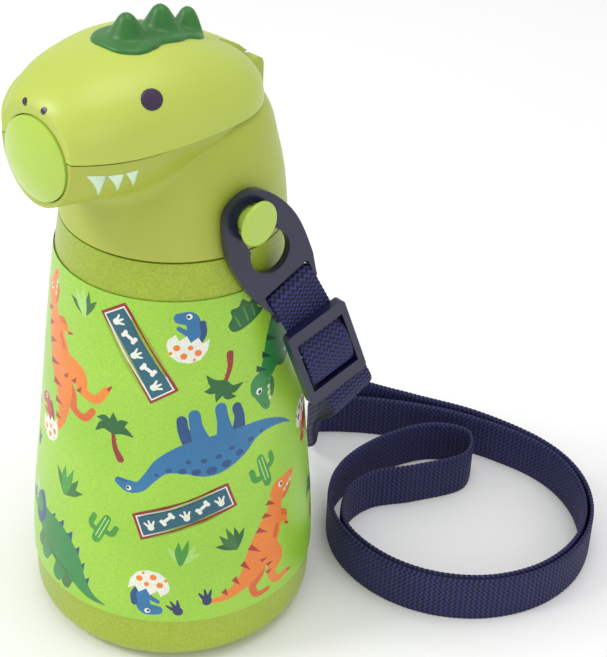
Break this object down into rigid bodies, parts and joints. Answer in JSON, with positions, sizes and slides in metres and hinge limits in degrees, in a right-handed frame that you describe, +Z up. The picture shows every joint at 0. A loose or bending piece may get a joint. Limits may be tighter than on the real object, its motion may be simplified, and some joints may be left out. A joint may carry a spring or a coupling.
{
  "type": "kids water bottle",
  "caption": "Insulated kids drinks bottle with a hinged dinosaur-head lid, a push-button snout and a webbing shoulder strap.",
  "frame": {"origin": "centre of the base disc on the table", "axes": "+Z up along the bottle axis; the face looks along -Y; the face's left side, with the strap adjuster, is +X"},
  "size_m": [0.1374, 0.1725, 0.1914],
  "materials": {
    "body_paint": "satin",
    "base_steel": "brushed",
    "vessel_steel": "brushed",
    "print_film": "printed, satin",
    "silicone": "matt",
    "cap_plastic": "fine satin",
    "inner_plastic": "satin",
    "spout_plastic": "gloss",
    "pin_steel": "polished",
    "spring_steel": "drawn wire",
    "lid_plastic": "fine satin",
    "crest_rubber": "soft satin",
    "button_plastic": "satin gloss",
    "strap_plastic": "fine satin gloss",
    "webbing": "woven"
  },
  "bodies": {
    "bottle": {"outer_shell": "body_paint", "base_disc": "base_steel", "inner_vessel": "vessel_steel", "print_wrap": "print_film"},
    "seal": {"cap_gasket": "silicone"},
    "cap": {"jaw_shell": "cap_plastic", "inner_cap": "inner_plastic", "spout": "spout_plastic", "strap_stud_left": "cap_plastic", "strap_stud_right": "cap_plastic", "hinge_pin": "pin_steel", "lid_spring": "spring_steel", "button_spring": "spring_steel"},
    "lid": {"lid_shell": "lid_plastic", "lid_liner": "inner_plastic", "lid_plug": "silicone", "spike_crest": "crest_rubber"},
    "button": {"snout_button": "button_plastic"},
    "strap": {"strap_hook_left": "strap_plastic", "strap_hook_right": "strap_plastic", "strap_webbing": "webbing"},
    "adjuster": {"strap_adjuster": "strap_plastic", "adjuster_wrap": "webbing"}
  },
  "joints": [
    {"name": "cap_lift", "type": "slide", "parent": "bottle", "child": "seal", "axis": [0, 0, 1], "range_m": [0, 0.019]},
    {"name": "cap_turn", "type": "hinge", "parent": "seal", "child": "cap", "pos_m": [0, 0, 0.14], "axis": [0, 0, 1], "range_deg": [0, 1080]},
    {"name": "lid_hinge", "type": "hinge", "parent": "cap", "child": "lid", "pos_m": [0, 0.023, 0.1674], "axis": [-1, 0, 0], "range_deg": [0, 110], "stiffness_Nm_per_rad": 0.02, "springref_deg": 120.32},
    {"name": "button_press", "type": "slide", "parent": "cap", "child": "button", "axis": [0, 1, 0], "range_m": [0, 0.0015], "stiffness_N_per_m": 400, "springref_m": -0.0015, "deforming": ["button_spring"]},
    {"name": "strap_swing", "type": "hinge", "parent": "cap", "child": "strap", "pos_m": [0, -0.0045, 0.1415], "axis": [1, 0, 0], "range_deg": [0, 30]},
    {"name": "adjuster_slide", "type": "slide", "parent": "strap", "child": "adjuster", "axis": [-0.1736, -0.4235, 0.8891], "range_m": [0, 0.005]}
  ],
  "couplings": [
    {"joint": "cap_lift", "follows": "cap_turn", "m_per_rad": 0.00095493}
  ]
}
